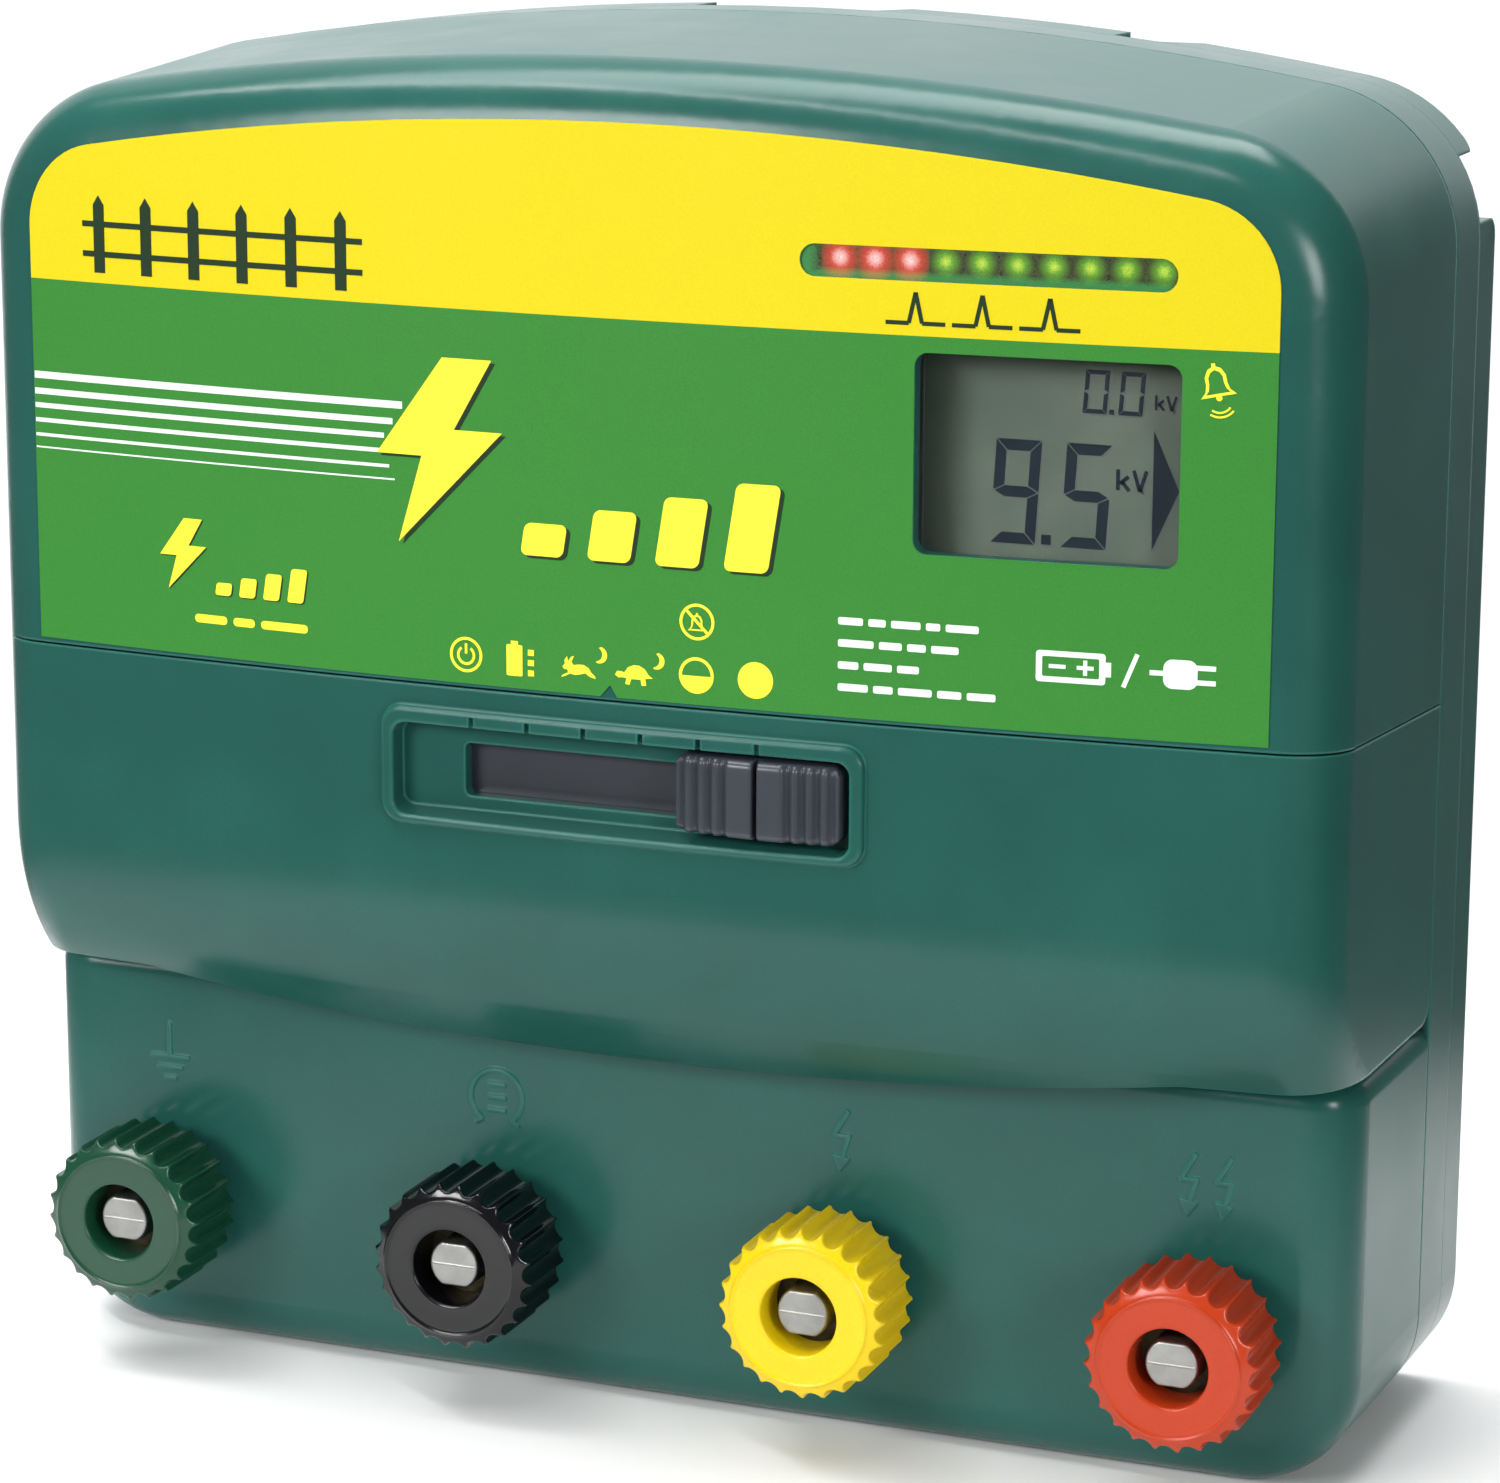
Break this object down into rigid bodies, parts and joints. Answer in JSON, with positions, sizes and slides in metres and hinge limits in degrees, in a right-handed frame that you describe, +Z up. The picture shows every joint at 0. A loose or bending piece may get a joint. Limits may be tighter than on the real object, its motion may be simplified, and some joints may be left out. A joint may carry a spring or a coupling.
{
  "type": "fence energizer",
  "caption": "Wall-hung electric fence energizer with arched case, label, display, pulse light bar, position slider and coloured screw terminals.",
  "frame": {"origin": "centre of the box round the part in X and Y, on the underside it stands on", "axes": "+X to the right seen from the front, +Y from the label side to the wall side, +Z up"},
  "size_m": [0.2718, 0.1036, 0.2639],
  "materials": {
    "case_plastic": "fine satin texture, dark teal green",
    "label_print": "printed sheet, yellow over green",
    "clear_window": "clear glossy",
    "smoked_lens": "smoked translucent",
    "lcd_glass": "grey liquid-crystal panel",
    "black_plastic": "fine matte",
    "led_red": "clear red",
    "led_green": "clear green",
    "board": "solder-mask green",
    "capacitor_case": "blue potted box",
    "core_steel": "lacquered laminations",
    "coil_tape": "yellow winding tape",
    "sink_aluminium": "extruded",
    "seal_rubber": "soft matte",
    "fastener_steel": "zinc plated",
    "stud_metal": "matte cast surface",
    "spring_steel": "rolled",
    "magnet": "nickel plated",
    "slider_plastic": "dark grey, fine texture",
    "brass": "turned",
    "copper_strap": "tinned copper strap",
    "knob_green": "semi-gloss green",
    "knob_black": "gloss black",
    "knob_yellow": "semi-gloss yellow",
    "knob_red": "semi-gloss orange red"
  },
  "bodies": {
    "housing": {"rear_shell": "case_plastic", "stand_off_rim": "case_plastic", "upper_cover": "case_plastic", "switch_band": "case_plastic", "terminal_cover": "case_plastic", "case_gasket": "seal_rubber", "case_screws": "fastener_steel", "front_label": "label_print", "display_window": "clear_window", "light_bar_lens": "smoked_lens", "lcd_panel": "lcd_glass", "lcd_frame": "black_plastic", "leds_red": "led_red", "leds_green": "led_green", "display_board": "board", "main_board": "board", "board_screws": "fastener_steel", "alarm_buzzer": "black_plastic", "position_sensors": "black_plastic", "pulse_capacitors": "capacitor_case", "pulse_core": "core_steel", "pulse_coil": "coil_tape", "supply_core": "core_steel", "supply_coil": "coil_tape", "heat_sink": "sink_aluminium", "thyristor": "black_plastic", "detent_spring": "spring_steel", "terminal_studs": "stud_metal", "base_nuts": "fastener_steel", "stud_seals": "seal_rubber", "lead_nuts": "fastener_steel", "stud_leads": "copper_strap", "inlet_socket": "black_plastic", "inlet_pins": "brass"},
    "slider": {"slider_grip": "slider_plastic", "slide_carrier": "slider_plastic", "slide_magnet": "magnet"},
    "clamp_green": {"washer_green": "fastener_steel"},
    "screw_green": {"knob_green": "knob_green", "insert_green": "brass"},
    "clamp_black": {"washer_black": "fastener_steel"},
    "screw_black": {"knob_black": "knob_black", "insert_black": "brass"},
    "clamp_yellow": {"washer_yellow": "fastener_steel"},
    "screw_yellow": {"knob_yellow": "knob_yellow", "insert_yellow": "brass"},
    "clamp_red": {"washer_red": "fastener_steel"},
    "screw_red": {"knob_red": "knob_red", "insert_red": "brass"}
  },
  "joints": [
    {"name": "slider_travel", "type": "slide", "parent": "housing", "child": "slider", "axis": [1, 0, 0], "range_m": [-0.0562, 0]},
    {"name": "clamp_lift_green", "type": "slide", "parent": "housing", "child": "clamp_green", "axis": [0, -1, 0], "range_m": [0, 0.006]},
    {"name": "knob_turn_green", "type": "hinge", "parent": "clamp_green", "child": "screw_green", "pos_m": [-0.1065, -0.0356, 0.031], "axis": [0, -1, 0], "range_deg": [0, 1440]},
    {"name": "clamp_lift_black", "type": "slide", "parent": "housing", "child": "clamp_black", "axis": [0, -1, 0], "range_m": [0, 0.006]},
    {"name": "knob_turn_black", "type": "hinge", "parent": "clamp_black", "child": "screw_black", "pos_m": [-0.0355, -0.0356, 0.031], "axis": [0, -1, 0], "range_deg": [0, 1440]},
    {"name": "clamp_lift_yellow", "type": "slide", "parent": "housing", "child": "clamp_yellow", "axis": [0, -1, 0], "range_m": [0, 0.006]},
    {"name": "knob_turn_yellow", "type": "hinge", "parent": "clamp_yellow", "child": "screw_yellow", "pos_m": [0.0355, -0.0356, 0.031], "axis": [0, -1, 0], "range_deg": [0, 1440]},
    {"name": "clamp_lift_red", "type": "slide", "parent": "housing", "child": "clamp_red", "axis": [0, -1, 0], "range_m": [0, 0.006]},
    {"name": "knob_turn_red", "type": "hinge", "parent": "clamp_red", "child": "screw_red", "pos_m": [0.1065, -0.0356, 0.031], "axis": [0, -1, 0], "range_deg": [0, 1440]}
  ],
  "couplings": [
    {"joint": "clamp_lift_green", "follows": "knob_turn_green", "m_per_rad": 0.00023873},
    {"joint": "clamp_lift_black", "follows": "knob_turn_black", "m_per_rad": 0.00023873},
    {"joint": "clamp_lift_yellow", "follows": "knob_turn_yellow", "m_per_rad": 0.00023873},
    {"joint": "clamp_lift_red", "follows": "knob_turn_red", "m_per_rad": 0.00023873}
  ]
}
